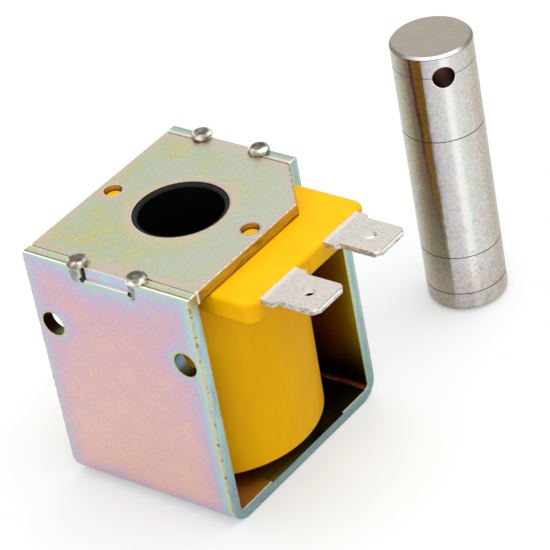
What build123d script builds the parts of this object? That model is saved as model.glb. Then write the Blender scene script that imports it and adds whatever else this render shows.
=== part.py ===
from build123d import *
import os
from math import sqrt

os.makedirs("parts", exist_ok=True)

# Open-frame electromagnet: a coil in a bent steel yoke, with its plunger taken out and standing beside it.
# Millimetres. The origin is on the bore's axis at the underside of the base. +Z is up along the bore, +X is
# the way the terminals point, and -Y is the front leg's side.

# Steel strip of the yoke
strip_width = 28.0
frame_depth = 33.0
leg_height = 37.2
steel = 1.8
inner_bend = 0.7
outer_bend = 3.2
edge_round = 0.25
base_nip_start_y = -8.0
base_nip_end_y = 8.6
base_nip_width = 1.2
base_nip_depth = 0.3

# Top plate and how it sits in the legs
plate_thickness = 1.8
leg_stands_proud = 0.0
plate_side_gap = 0.05
plate_round = 0.2
plate_corner_round = 0.35
notch_width = 8.0
notch_relief_radius = 0.4
tab_width = 7.3
tab_recess = 0.5
corner_cut_x = 6.75
corner_cut_y = 7.4

# Peened lugs
lug_spacing = 9.8
head_radius = 1.52
head_foot_radius = 1.34
head_rim_radius = 1.02
head_flat_radius = 0.6
head_height = 0.95
head_widest = 0.34
head_shoulder = 0.7
head_rim = 0.88
head_hollow = 0.05

# Back leg's narrowed top
narrowing_x = 7.2
narrowing_depth = 6.0
narrowing_round = 1.0

# Holes in the legs
leg_hole_radius = 1.8
leg_hole_spacing = 22.4
leg_hole_from_top = 10.9

# Guide bore, bobbin and plunger
bore_radius = 5.9
bobbin_wall = 0.65
spigot_gap = 0.05
spigot_recess = 0.2
bobbin_foot_gap = 0.05
bobbin_flange_thickness = 1.0
bore_chamfer = 0.2
plunger_gap = 0.08
plunger_length = 42.5
plunger_top_chamfer = 0.35
plunger_foot_round = 1.1
scribed_ring_depths = (3.3, 13.6, 33.1, 39.3)
scribed_ring_width = 0.14
scribed_ring_cut = 0.06
link_hole_radius = 1.6
link_hole_depth = 3.4
link_hole_angle = -42.0
plunger_stands_x = 12.3
plunger_stands_y = 42.3

# Yellow body of the coil
coil_leg_clearance = 0.2
coil_draft = 0.5
coil_side_wall = 1.6
coil_foot_clearance = 1.25
coil_foot_round = 0.4
coil_end_wall = 0.8
coil_head_wall = 1.35
block_reach = 20.5
block_width = 25.6
block_offset_y = 0.55
block_thickness = 3.25
block_corner_round = 1.8
block_top_round = 0.6
block_under_round = 0.3
parting_step = 0.1
gate_rib_width = 1.0
gate_rib_proud = 0.05
gate_rib_height = 1.9
pin_radius = 1.1
pin_hole_radius = 1.3
pin_spacing = 23.2
pin_recess = 0.8

# Winding
winding_inset = 0.9
tape_thickness = 0.25
wire_radius = 0.15
wire_groove = 0.6
lead_bend = 0.5
lead_clear = 0.3
lead_drop = 0.3
lead_past_tang = 0.6
solder_film = 0.04
solder_radius = 0.9
solder_tip_radius = 0.54
solder_height = 0.45

# Spade terminals
blade_width = 6.3
blade_thickness = 0.8
blade_tip_x = 28.9
blade_hole_radius = 0.88
blade_hole_from_tip = 3.6
blade_tip_bevel = 0.22
blade_tip_cut = 0.9
blade_tip_cut_length = 0.63
blade_drop = 0.15
terminal_pitch = 13.7
terminal_middle_y = 0.45
shoulder_width = 7.6
shoulder_length = 1.7
shoulder_taper = 0.5
tang_width = 4.4
tang_length = 5.3

# Pole piece and spring washer
pole_height = 8.0
pole_gap = 0.05
pole_seat_step = 0.55
pole_seat_above = 0.1
pole_chamfer = 0.4
rivet_radius = 4.0
rivet_flare = 0.6
washer_inner_radius = 6.9
washer_outer_radius = 9.6
washer_thickness = 0.35
washer_gap = 0.04

# Heights and faces that follow
outer_half = frame_depth / 2
inner_half = outer_half - steel
leg_middle = outer_half - steel / 2
plate_top = leg_height - leg_stands_proud
plate_under = plate_top - plate_thickness
coil_foot = steel + coil_foot_clearance
spigot_radius = bore_radius + bobbin_wall
plate_hole_radius = spigot_radius + spigot_gap
spigot_top = plate_top - spigot_recess
lower_flange = coil_foot + coil_end_wall
winding_foot = lower_flange + bobbin_flange_thickness
upper_flange_top = plate_under - coil_head_wall
winding_head = upper_flange_top - bobbin_flange_thickness
coil_top_radius = inner_half - coil_leg_clearance
coil_foot_radius = coil_top_radius - coil_draft
bobbin_flange_radius = coil_foot_radius - coil_side_wall
winding_radius = bobbin_flange_radius - winding_inset
tape_radius = winding_radius + tape_thickness
lead_out_x = bobbin_flange_radius + lead_clear
tang_end_x = block_reach - tang_length
lead_end_x = tang_end_x + lead_past_tang
blade_top = plate_under - blade_drop
blade_under = blade_top - blade_thickness
terminal_front_y = terminal_middle_y - terminal_pitch / 2
terminal_rear_y = terminal_front_y + terminal_pitch
lead_start_y = terminal_rear_y - tang_width / 3
lead_finish_y = terminal_front_y + tang_width / 3
leg_hole_height = leg_height - leg_hole_from_top
front_tab_x = 0.0
back_tab_x = (narrowing_x - strip_width / 2) / 2
pole_face = steel + pole_height
pole_seat_radius = bore_radius - pole_seat_step
pole_radius = pole_seat_radius - pole_gap
plunger_radius = bore_radius - plunger_gap


def box_between(low, high):
    """A block from one corner to the opposite one, given in either order."""
    size = [abs(b - a) for a, b in zip(low, high)]
    middle = [(a + b) / 2 for a, b in zip(low, high)]
    return Pos(*middle) * Box(*size)


def ring(outer_radius, inner_radius, foot, head):
    """An upright tube from one height to another."""
    height = head - foot
    tube = Cylinder(outer_radius, height) - Cylinder(inner_radius, height)
    return Pos(0, 0, foot + height / 2) * tube


def peened_head():
    """A lug's end, hammered out into a low dome that is slightly hollow on top."""
    with BuildPart() as head:
        with BuildSketch(Plane.XZ):
            with BuildLine():
                foot = Line((0, 0), (head_foot_radius, 0))
                side = ThreePointArc(foot @ 1, (head_radius, head_widest), (head_foot_radius, head_shoulder))
                dome = ThreePointArc(side @ 1, (head_rim_radius, head_rim), (head_flat_radius, head_height))
                dip = Line(dome @ 1, (0, head_height - head_hollow))
                Line(dip @ 1, (0, 0))
            make_face()
        revolve(axis=Axis.Z)
    return head.part


def yoke_frame():
    """Bent strip: the front leg, the base and the back leg."""
    outside = Pos(0, leg_height / 2) * Rectangle(frame_depth, leg_height)
    outside = fillet(outside.vertices().group_by(Axis.Y)[0], outer_bend)
    inside = Pos(0, steel + leg_height / 2) * Rectangle(2 * inner_half, leg_height)
    inside = fillet(inside.vertices().group_by(Axis.Y)[0], inner_bend)
    frame = extrude(Plane.YZ * (outside - inside), strip_width / 2, both=True)

    # The back leg's top is cut narrower on the terminals' side
    waste_width = strip_width / 2 - narrowing_x
    waste = Rectangle(2 * waste_width, 2 * narrowing_depth)
    waste = fillet(waste.vertices().group_by(Axis.X)[0].group_by(Axis.Y)[0], narrowing_round)
    waste_place = Plane.XZ.offset(-outer_half - steel) * Pos(strip_width / 2, leg_height)
    frame -= extrude(waste_place * waste, 3 * steel)

    # The sheared edges are slightly rounded
    rim = frame.edges().filter_by(Axis.Z).filter_by(lambda e: abs(e.center().X) > narrowing_x - edge_round)
    rim += frame.edges().filter_by(Axis.X).group_by(Axis.Z)[-1]
    rim += frame.edges().filter_by(Axis.Y)
    rim += frame.edges().filter_by(GeomType.CIRCLE).filter_by(lambda e: e.center().Z < leg_height / 2)
    frame = fillet(rim, edge_round)

    # Each leg has a notch for the plate's tab, with relieved corners, and beside it the two peened lugs
    relief = Rot(90, 0, 0) * Cylinder(notch_relief_radius, frame_depth / 2)
    for end, middle_x in ((-1, front_tab_x), (1, back_tab_x)):
        notch = box_between(
            (middle_x - notch_width / 2, end * frame_depth, plate_under),
            (middle_x + notch_width / 2, end * frame_depth / 4, 2 * leg_height),
        )
        for side in (-1, 1):
            notch += Pos(middle_x + side * notch_width / 2, end * leg_middle, plate_under) * relief
        frame -= notch
        sill_corner = box_between((-notch_width / 2, 0, 0), (notch_width / 2, end * steel, steel))
        sill_corner -= Rot(0, 90, 0) * Cylinder(edge_round, 2 * notch_width)
        frame -= Pos(middle_x, end * (outer_half - edge_round), plate_under - edge_round) * sill_corner
        for side in (-1, 1):
            frame += Pos(middle_x + side * lug_spacing / 2, end * leg_middle, plate_top) * peened_head()

    # The base is nipped thinner along part of its edge on the terminals' side
    frame -= box_between(
        (strip_width / 2 - base_nip_width, base_nip_start_y, steel - base_nip_depth),
        (strip_width, base_nip_end_y, 2 * steel - base_nip_depth),
    )

    # Mounting holes through both legs
    leg_drill = Rot(90, 0, 0) * Cylinder(leg_hole_radius, 2 * frame_depth)
    for side in (-1, 1):
        frame -= Pos(side * leg_hole_spacing / 2, 0, leg_hole_height) * leg_drill

    # Hole for the pole piece's rivet, countersunk underneath
    frame -= Cylinder(rivet_radius, 3 * steel)
    frame -= Pos(0, 0, rivet_flare / 2) * Cone(rivet_radius + rivet_flare, rivet_radius, rivet_flare)
    return frame


def top_plate():
    """Pole plate: a tab at each leg, the bobbin's hole, two locating holes and one cut corner."""
    half_x = strip_width / 2 - plate_side_gap
    half_y = inner_half - plate_side_gap
    outline = Rectangle(2 * half_x, 2 * half_y)
    outline -= Polygon(
        (half_x - corner_cut_x, half_y),
        (half_x, half_y - corner_cut_y),
        (half_x, half_y),
        align=None,
    )
    outline = fillet(outline.vertices(), plate_corner_round)
    plate = extrude(outline, plate_thickness)
    plate = fillet(plate.faces().sort_by(Axis.Z)[-1].edges(), plate_round)
    for end, middle_x in ((-1, front_tab_x), (1, back_tab_x)):
        plate += box_between(
            (middle_x - tab_width / 2, 0, 0),
            (middle_x + tab_width / 2, end * (outer_half - tab_recess), plate_thickness),
        )
    plate -= Cylinder(plate_hole_radius, 3 * plate_thickness)
    for side in (-1, 1):
        plate -= Pos(side * pin_spacing / 2, 0, 0) * Cylinder(pin_hole_radius, 3 * plate_thickness)
    return Pos(0, 0, plate_under) * plate


def bobbin():
    """Spool: the guide tube for the plunger, a flange at each end of the winding, and the pole's seat."""
    spool = ring(spigot_radius, bore_radius, steel + bobbin_foot_gap, spigot_top)
    spool += ring(bobbin_flange_radius, bore_radius, lower_flange, winding_foot)
    spool += ring(bobbin_flange_radius, bore_radius, winding_head, upper_flange_top)
    spool += ring(spigot_radius, pole_seat_radius, steel + bobbin_foot_gap, pole_face + pole_seat_above)
    mouth = spool.faces().sort_by(Axis.Z)[-1].edges().sort_by(SortBy.LENGTH)[0]
    return chamfer(mouth, bore_chamfer)


def lead(y, start_x):
    """A wire out of the winding, up past the flange and along the underside of its terminal."""
    low = winding_head - lead_drop
    high = blade_under - wire_radius - solder_film
    route = FilletPolyline(
        (start_x, y, low),
        (lead_out_x, y, low),
        (lead_out_x, y, high),
        (lead_end_x, y, high),
        radius=lead_bend,
    )
    section = Plane(route @ 0, z_dir=route % 0) * Circle(wire_radius)
    return sweep(section, path=route)


def lead_start():
    """The winding's inner end, which leaves beside the spool."""
    start_x = sqrt(spigot_radius ** 2 - lead_start_y ** 2) + 2 * wire_radius
    return lead(lead_start_y, start_x)


def lead_finish():
    """The winding's outer end."""
    return lead(lead_finish_y, sqrt(winding_radius ** 2 - lead_finish_y ** 2))


def solder(y):
    """A flat drop of solder that holds the wire to the terminal's underside."""
    drop = Cone(solder_tip_radius, solder_radius, solder_height)
    return Pos(lead_end_x - solder_tip_radius, y, blade_under - solder_height / 2) * drop


def solder_rear():
    """Joint of the rear terminal."""
    return solder(lead_start_y) - lead_start()


def solder_front():
    """Joint of the front terminal."""
    return solder(lead_finish_y) - lead_finish()


def winding():
    """All turns as one body, with the groove in which the inner end comes out."""
    turns = ring(winding_radius, spigot_radius, winding_foot, winding_head)
    groove = box_between(
        (0, lead_start_y - wire_groove / 2, winding_head - 2 * lead_drop),
        (winding_radius + lead_drop, lead_start_y + wire_groove / 2, winding_head + lead_drop),
    )
    return turns - groove


def winding_tape():
    """Tape round the outside of the winding, slit where the two wires come out."""
    tape = ring(tape_radius, winding_radius, winding_foot, winding_head)
    for y in (lead_start_y, lead_finish_y):
        tape -= box_between(
            (0, y - wire_groove / 2, winding_head - 2 * lead_drop),
            (2 * winding_radius, y + wire_groove / 2, winding_head + lead_drop),
        )
    return tape


def terminal(y):
    """Flat spade: tang inside the block, shoulders where it comes out, then the bevelled blade."""
    half_blade = blade_width / 2
    half_shoulder = shoulder_width / 2
    half_tang = tang_width / 2
    root_x = block_reach - block_top_round
    shoulder_x = block_reach + shoulder_length
    right_side = [
        (tang_end_x, half_tang),
        (root_x, half_tang),
        (root_x, half_shoulder),
        (shoulder_x, half_shoulder),
        (shoulder_x + shoulder_taper, half_blade),
        (blade_tip_x - blade_tip_cut_length, half_blade),
        (blade_tip_x, half_blade - blade_tip_cut),
    ]
    outline = Polygon(*right_side, *[(px, -py) for px, py in reversed(right_side)], align=None)
    outline -= Pos(blade_tip_x - blade_hole_from_tip, 0) * Circle(blade_hole_radius)
    blade = extrude(outline, blade_thickness, dir=(0, 0, 1))
    tip = blade.edges().filter_by(lambda e: e.center().X > blade_tip_x - blade_tip_cut)
    tip = tip.filter_by(lambda e: abs(e.center().Z - blade_thickness / 2) > blade_thickness / 4)
    blade = chamfer(tip, blade_tip_bevel)
    return Pos(0, y, blade_under) * blade


def terminal_front():
    """Terminal on the front leg's side."""
    return terminal(terminal_front_y)


def terminal_rear():
    """Terminal on the back leg's side."""
    return terminal(terminal_rear_y)


def coil_overmould():
    """Yellow body moulded round the wound bobbin, with the terminal block and two locating pins."""
    height = plate_under - coil_foot
    body = Pos(0, 0, coil_foot + height / 2) * Cone(coil_foot_radius, coil_top_radius, height)
    body = fillet(body.edges().sort_by(Axis.Z)[0], coil_foot_round)

    # The block's upper half is a little wider than its lower half, and they part at the blades' underside
    block_foot = plate_under - block_thickness
    for step, foot, head in ((0, blade_under, plate_under), (parting_step, block_foot, blade_under)):
        reach = block_reach - step
        outline = Pos(reach / 2, block_offset_y) * Rectangle(reach, block_width - 2 * step)
        outline = fillet(outline.vertices().group_by(Axis.X)[-1], block_corner_round - step)
        slab = Pos(0, 0, foot) * extrude(outline, head - foot)
        if step:
            slab = fillet(slab.faces().sort_by(Axis.Z)[0].edges(), block_under_round)
        else:
            slab = fillet(slab.faces().sort_by(Axis.Z)[-1].edges(), block_top_round)
        body += slab

    body += box_between(
        (block_reach - block_corner_round, block_offset_y - gate_rib_width / 2, blade_under - gate_rib_height),
        (block_reach + gate_rib_proud, block_offset_y + gate_rib_width / 2, blade_under),
    )
    pin_height = plate_top - pin_recess - plate_under
    for side in (-1, 1):
        body += Pos(side * pin_spacing / 2, 0, plate_under + pin_height / 2) * Cylinder(pin_radius, pin_height)

    # What it is moulded round
    body -= Cylinder(spigot_radius, 4 * leg_height)
    body -= ring(bobbin_flange_radius, bore_radius, lower_flange, winding_foot)
    body -= ring(bobbin_flange_radius, bore_radius, winding_head, upper_flange_top)
    body -= ring(tape_radius, bore_radius, winding_foot, winding_head)
    for piece in (terminal_front(), terminal_rear(), lead_start(), lead_finish(), solder_front(), solder_rear()):
        body -= piece
    return body


def pole_piece():
    """Fixed core: it stands in the bore's foot and is riveted flush into the base."""
    core = Pos(0, 0, steel + pole_height / 2) * Cylinder(pole_radius, pole_height)
    core = chamfer(core.edges().sort_by(Axis.Z)[-1], pole_chamfer)
    core += Pos(0, 0, steel / 2) * Cylinder(rivet_radius, steel)
    core += Pos(0, 0, rivet_flare / 2) * Cone(rivet_radius + rivet_flare, rivet_radius, rivet_flare)
    return core


def spring_washer():
    """Curved spring washer: a flat ring bowed about one axis, between the base and the coil's foot."""
    bow = coil_foot_clearance - washer_thickness - 2 * washer_gap
    bow_radius = (washer_outer_radius ** 2 + bow ** 2) / (2 * bow)
    shell = Rot(90, 0, 0) * (
        Cylinder(bow_radius + washer_thickness, 3 * washer_outer_radius)
        - Cylinder(bow_radius, 4 * washer_outer_radius)
    )
    crest = coil_foot - washer_gap
    shell = Pos(0, 0, crest - bow_radius - washer_thickness) * shell
    return shell & ring(washer_outer_radius, washer_inner_radius, steel, coil_foot)


def plunger():
    """Ground steel bar with a chamfered top, a rounded foot and a cross hole for the link pin."""
    bar = Pos(0, 0, plunger_length / 2) * Cylinder(plunger_radius, plunger_length)
    bar = chamfer(bar.edges().sort_by(Axis.Z)[-1], plunger_top_chamfer)
    bar = fillet(bar.edges().sort_by(Axis.Z)[0], plunger_foot_round)
    drill = Rot(0, 90, 0) * Cylinder(link_hole_radius, 4 * plunger_radius)
    bar -= Pos(0, 0, plunger_length - link_hole_depth) * Rot(0, 0, link_hole_angle) * drill
    for depth in scribed_ring_depths:
        middle = plunger_length - depth
        bar -= ring(
            2 * plunger_radius,
            plunger_radius - scribed_ring_cut,
            middle - scribed_ring_width / 2,
            middle + scribed_ring_width / 2,
        )
    return Pos(plunger_stands_x, plunger_stands_y, 0) * bar


pieces = [
    yoke_frame,
    top_plate,
    coil_overmould,
    bobbin,
    winding,
    winding_tape,
    terminal_front,
    terminal_rear,
    lead_start,
    lead_finish,
    solder_front,
    solder_rear,
    pole_piece,
    spring_washer,
    plunger,
]

for make in pieces:
    export_step(make(), f"parts/{make.__name__}.step")
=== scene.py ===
import math

import bpy
from mathutils import Matrix, Vector


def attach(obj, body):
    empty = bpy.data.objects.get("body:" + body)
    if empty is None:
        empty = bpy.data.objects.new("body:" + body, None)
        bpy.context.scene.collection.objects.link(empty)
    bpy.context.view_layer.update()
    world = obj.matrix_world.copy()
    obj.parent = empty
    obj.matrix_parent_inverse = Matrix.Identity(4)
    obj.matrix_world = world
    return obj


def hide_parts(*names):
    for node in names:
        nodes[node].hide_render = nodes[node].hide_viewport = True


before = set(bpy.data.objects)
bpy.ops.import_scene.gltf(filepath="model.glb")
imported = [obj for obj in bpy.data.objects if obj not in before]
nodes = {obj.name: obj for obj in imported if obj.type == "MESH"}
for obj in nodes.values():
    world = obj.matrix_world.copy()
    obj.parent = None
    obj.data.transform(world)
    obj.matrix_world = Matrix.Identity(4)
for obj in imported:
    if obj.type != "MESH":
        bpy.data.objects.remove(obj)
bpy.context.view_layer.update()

# Camera: a long lens held over the front right corner and turned a little, as the photograph was taken. Its
# angles, place and focal length were fitted to the frame's corners, holes and terminals.
def new_object(name, data):
    """Make an object of this data and put it into the scene."""
    made = bpy.data.objects.new(name, data)
    bpy.context.scene.collection.objects.link(made)
    return made


azimuth, elevation, roll = (math.radians(angle) for angle in (42.5414, 33.8674, -11.0))
toward_camera = Vector((
    math.sin(azimuth) * math.cos(elevation),
    -math.cos(azimuth) * math.cos(elevation),
    math.sin(elevation),
))
level_right = Vector((0, 0, 1)).cross(toward_camera).normalized()
level_up = toward_camera.cross(level_right)
camera_right = math.cos(roll) * level_right + math.sin(roll) * level_up
camera_up = math.cos(roll) * level_up - math.sin(roll) * level_right
aim = Vector((0, 0, 0.020))
seen_right, seen_down, seen_away = -0.0097116, 0.0053574, 0.4041459
focal_pixels, picture_width, sensor_width = 2999.48, 550.0, 36.0
camera = new_object("camera", bpy.data.cameras.new("camera"))
camera.data.sensor_width = sensor_width
camera.data.lens = sensor_width * focal_pixels / picture_width
camera.data.clip_start, camera.data.clip_end = 0.01, 10.0
camera_place = aim - seen_right * camera_right + seen_down * camera_up + seen_away * toward_camera
camera_turn = Matrix((camera_right, camera_up, toward_camera)).transposed().to_4x4()
camera.matrix_world = Matrix.Translation(camera_place) @ camera_turn
bpy.context.scene.camera = camera


# Yoke: one strip of low-carbon steel, 28 mm wide and 1.8 mm thick, bent into a U, with two holes in each leg.
# It is zinc plated and yellow chromated, and the lugs beside each notch are hammered over into round heads
# after plating, so the heads are bare steel.
def to_linear(code):
    """Turn an sRGB hex value into the linear colour that a shader takes."""
    parts = [int(code[i:i + 2], 16) / 255 for i in (1, 3, 5)]
    return [c / 12.92 if c < 0.04045 else ((c + 0.055) / 1.055) ** 2.4 for c in parts] + [1.0]


def add(tree, kind, links, stops=(), **settings):
    """Add a node with its settings, its links from other nodes or plain values, and a ramp's stops.

    A kind without the word Node is a shader node. A node that is linked gives its first output in use.
    """
    node = tree.nodes.new(kind if "Node" in kind else "ShaderNode" + kind)
    for name, value in settings.items():
        setattr(node, name, value)
    for name, value in links.items():
        if isinstance(value, bpy.types.Node):
            value = next(output for output in value.outputs if output.enabled)
        if isinstance(value, bpy.types.NodeSocket):
            tree.links.new(value, node.inputs[name])
        else:
            node.inputs[name].default_value = to_linear(value) if isinstance(value, str) else value
    for count, (place, code) in enumerate(stops):
        ends = node.color_ramp.elements
        stop = ends[count] if count < 2 else ends.new(1.0)
        stop.position, stop.color = place, to_linear(code)
    return node


def layer(tree, under, over, measure, start, full, strength=1.0):
    """Lay a colour over another where a measure passes from its start to the value that covers fully."""
    cover = add(tree, "MapRange", {"Value": measure, "From Min": start, "From Max": full, "To Max": strength})
    return add(tree, "MixRGB", {0: cover, 1: under, 2: over})


def new_finish(name, values):
    """Start a material whose shader has these plain values, and give its tree and its place in mm."""
    finish = bpy.data.materials.new(name)
    finish.use_nodes = True
    tree = finish.node_tree
    for socket, value in values.items():
        tree.nodes["Principled BSDF"].inputs[socket].default_value = value
    place = add(tree, "TexCoord", {}).outputs["Object"]
    return finish, tree, add(tree, "VectorMath", {0: place, "Scale": 1000.0}, operation="SCALE")


def join_finish(finish, color, height=None, strength=0.0, depth=0.1, roughness=None):
    """Join a colour, a bump with its depth in mm, and a roughness to a material's shader."""
    tree = finish.node_tree
    shader = tree.nodes["Principled BSDF"]
    tree.links.new(color.outputs[0], shader.inputs["Base Color"])
    if height is not None:
        bump = add(tree, "Bump", {"Height": height, "Strength": strength, "Distance": depth / 1000})
        tree.links.new(bump.outputs[0], shader.inputs["Normal"])
    if roughness is not None:
        tree.links.new(roughness.outputs[0], shader.inputs["Roughness"])


strip_half, outer_half, steel = 14.0, 16.5, 1.8
leg_height, plate_under = 37.2, 35.4
leg_hole = (11.2, 0.0, 26.3)
leg_hole_radius = 1.8
notch_half, back_notch_x = 4.0, -3.4
narrowing_x, narrowing_z, out_of_reach = 7.2, 31.2, 40.0
cloud_size, grain_size, speck_size = 9.0, 0.9, 0.45

# Yellow chromate on zinc: a thin clear film whose colour follows its thickness, pink and lilac on open
# faces, blue to green and yellow towards edges and holes, where it is thinner. The plating is satin.
yoke_finish, tree, mm = new_finish("yellow_chromated_yoke", {"Metallic": 1.0, "Roughness": 0.38})
place = add(tree, "SeparateXYZ", {0: mm})
folded = add(tree, "VectorMath", {0: mm}, operation="ABSOLUTE")
across, depth, height = add(tree, "SeparateXYZ", {0: folded}).outputs
turned = add(tree, "SeparateXYZ", {0: add(tree, "TexCoord", {}).outputs["Normal"]})
behind = add(tree, "Math", {0: place.outputs["Y"], 1: 0.0}, operation="GREATER_THAN")

# How far a point lies from the strip's edges, bends, notches and holes
side_gap = add(tree, "Math", {0: strip_half, 1: across}, operation="SUBTRACT")
top_gap = add(tree, "Math", {0: leg_height, 1: height}, operation="SUBTRACT")
out_gap = add(tree, "Math", {0: outer_half, 1: depth}, operation="SUBTRACT")
bend_gap = add(tree, "Math", {0: out_gap, 1: height}, operation="ADD")
notch_x = add(tree, "Math", {0: behind, 1: -back_notch_x, 2: place.outputs["X"]}, operation="MULTIPLY_ADD")
notch_x = add(tree, "Math", {0: notch_x}, operation="ABSOLUTE")
notch_x = add(tree, "Math", {0: notch_x, 1: notch_half}, operation="SUBTRACT")
notch_z = add(tree, "Math", {0: plate_under, 1: height}, operation="SUBTRACT")
narrow_x = add(tree, "Math", {0: narrowing_x, 1: place.outputs["X"]}, operation="SUBTRACT")
narrow_z = add(tree, "Math", {0: narrowing_z, 1: height}, operation="SUBTRACT")
narrow_far = add(tree, "Math", {0: behind, 1: -out_of_reach, 2: out_of_reach}, operation="MULTIPLY_ADD")
flattened = add(tree, "VectorMath", {0: folded, 1: (1.0, 0.0, 1.0)}, operation="MULTIPLY")
hole_gap = add(tree, "VectorMath", {0: flattened, 1: leg_hole}, operation="DISTANCE")
hole_gap = add(tree, "Math", {0: hole_gap, 1: leg_hole_radius}, operation="SUBTRACT")
hole_wide = add(tree, "Math", {0: hole_gap, 1: 1.9}, operation="MULTIPLY")
gaps = [(top_gap, 2.0), (bend_gap, 2.0)]
for corner in ({0: notch_x, 1: notch_z}, {0: narrow_x, 1: narrow_z, 2: narrow_far}):
    gap = add(tree, "CombineXYZ", corner)
    gap = add(tree, "VectorMath", {0: gap, 1: (0.0, 0.0, 0.0)}, operation="MAXIMUM")
    gap = add(tree, "VectorMath", {0: gap}, operation="LENGTH")
    gaps.append((gap, 1.5))
edge_gap = side_gap
for gap, smooth in gaps + [(hole_wide, 1.5)]:
    edge_gap = add(tree, "Math", {0: edge_gap, 1: gap, 2: smooth}, operation="SMOOTH_MIN")

# The film follows the distance from the edges, with clouds of about 9 mm, a grain of about 1 mm and fine
# specks. Each pattern's scale is one over its real size in mm
cloud = add(tree, "TexNoise", {"Vector": mm, "Scale": 1 / cloud_size, "Detail": 3.0, "Roughness": 0.6})
grain = add(tree, "TexNoise", {"Vector": mm, "Scale": 1 / grain_size, "Detail": 4.0, "Roughness": 0.7})
film = add(tree, "Math", {0: cloud, 1: 2.6, 2: edge_gap}, operation="MULTIPLY_ADD")
film = add(tree, "Math", {0: grain, 1: 1.4, 2: film}, operation="MULTIPLY_ADD")
to_left = add(tree, "MapRange",
              {"Value": place.outputs["X"], "From Min": -9.0, "From Max": -13.5, "To Max": 1.1})
film = add(tree, "Math", {0: film, 1: to_left}, operation="ADD")
film = add(tree, "MapRange", {"Value": film, "From Min": 1.4, "From Max": 9.4})
outer_color = add(tree, "ValToRGB", {0: film}, stops=(
    (0.0, "#c6c4a8"), (0.07, "#b9ccb9"), (0.15, "#b2c6c9"), (0.24, "#bdbccf"), (0.36, "#c8b3ca"),
    (0.55, "#d0b0c0"), (1.0, "#d6b1b6")))
patch = add(tree, "TexNoise", {"Vector": mm, "Scale": 1 / 4.0, "Detail": 6.0, "Roughness": 0.7})
patch = add(tree, "MapRange", {"Value": patch, "From Min": 0.48, "From Max": 0.72, "To Max": 0.42})
# Towards the foot the face turns peach: the film's own tone, raised there as painted light against the
# reflected floor shadow
low = add(tree, "MapRange", {"Value": height, "From Min": 27.0, "From Max": 4.0, "To Max": 0.68})
pink = add(tree, "Math", {0: low, 1: patch}, operation="ADD", use_clamp=True)
far_in = add(tree, "MapRange", {"Value": film, "From Min": 0.25, "From Max": 0.6})
pink = add(tree, "Math", {0: pink, 1: far_in}, operation="MULTIPLY")
outer_color = add(tree, "MixRGB", {0: pink, 1: outer_color, 2: "#e9c1ad"})
# Painted shade: the bend at the foot is painted olive as the reflection of the shaded floor
outer_color = layer(tree, outer_color, "#9a9c80", height, 1.6, 0.2, 0.8)
speck = add(tree, "TexNoise", {"Vector": mm, "Scale": 1 / speck_size, "Detail": 4.0, "Roughness": 0.8})
outer_color = add(tree, "MixRGB", {0: 0.8, 1: outer_color, 2: speck.outputs["Color"]},
                  blend_type="SOFT_LIGHT")
outer_color = layer(tree, outer_color, "#c9b45a", hole_gap, 0.42, 0.08, 0.8)

# At the sheared corners the film thins to beige, between a yellow and a cyan line
skin_gap = add(tree, "Math", {0: out_gap, 1: height}, operation="MINIMUM")
corner_gap = add(tree, "Math", {0: side_gap, 1: skin_gap}, operation="ADD")
corner_gap = add(tree, "Math", {0: speck, 1: 0.6, 2: corner_gap}, operation="MULTIPLY_ADD")
corner_place = add(tree, "MapRange", {"Value": corner_gap, "From Min": 0.3, "From Max": 1.9})
corner_color = add(tree, "ValToRGB", {0: corner_place}, stops=(
    (0.0, "#cfbab2"), (0.1, "#cdb9ae"), (0.19, "#d1cf9c"), (0.3, "#b9d3b6"), (0.5, "#abd0d0"),
    (1.0, "#b4c9d4")))
to_right = add(tree, "MapRange", {"Value": place.outputs["X"], "From Min": -2.0, "From Max": 6.0,
                                  "To Min": 0.3, "To Max": 0.85})
outer_color = layer(tree, outer_color, corner_color, corner_gap, 2.1, 1.0, to_right)

# Inside the U the faces are painted dark as shade, amber as a painted reflection of the coil: olive by the
# strip's edges, brown further in, painted near black shade towards the back and the foot, with a coppery
# patch on the base behind the front leg
inner_shade_place = add(tree, "Math", {0: cloud, 1: 2.5, 2: side_gap}, operation="MULTIPLY_ADD")
inner_shade_place = add(tree, "MapRange", {"Value": inner_shade_place, "From Min": 1.2, "From Max": 8.0})
inner_shade_color = add(tree, "ValToRGB", {0: inner_shade_place}, stops=(
    (0.0, "#b5ac50"), (0.16, "#8c8a22"), (0.4, "#86641e"), (1.0, "#7c4e1a")))
by_leg = add(tree, "MapRange",
             {"Value": place.outputs["Y"], "From Min": -7.0, "From Max": -12.0, "To Max": 0.75})
by_base = add(tree, "Math", {0: height, 1: steel + 0.2}, operation="LESS_THAN")
by_leg = add(tree, "Math", {0: by_leg, 1: by_base}, operation="MULTIPLY")
inner_shade_color = add(tree, "MixRGB", {0: by_leg, 1: inner_shade_color, 2: "#b0907a"})
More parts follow.
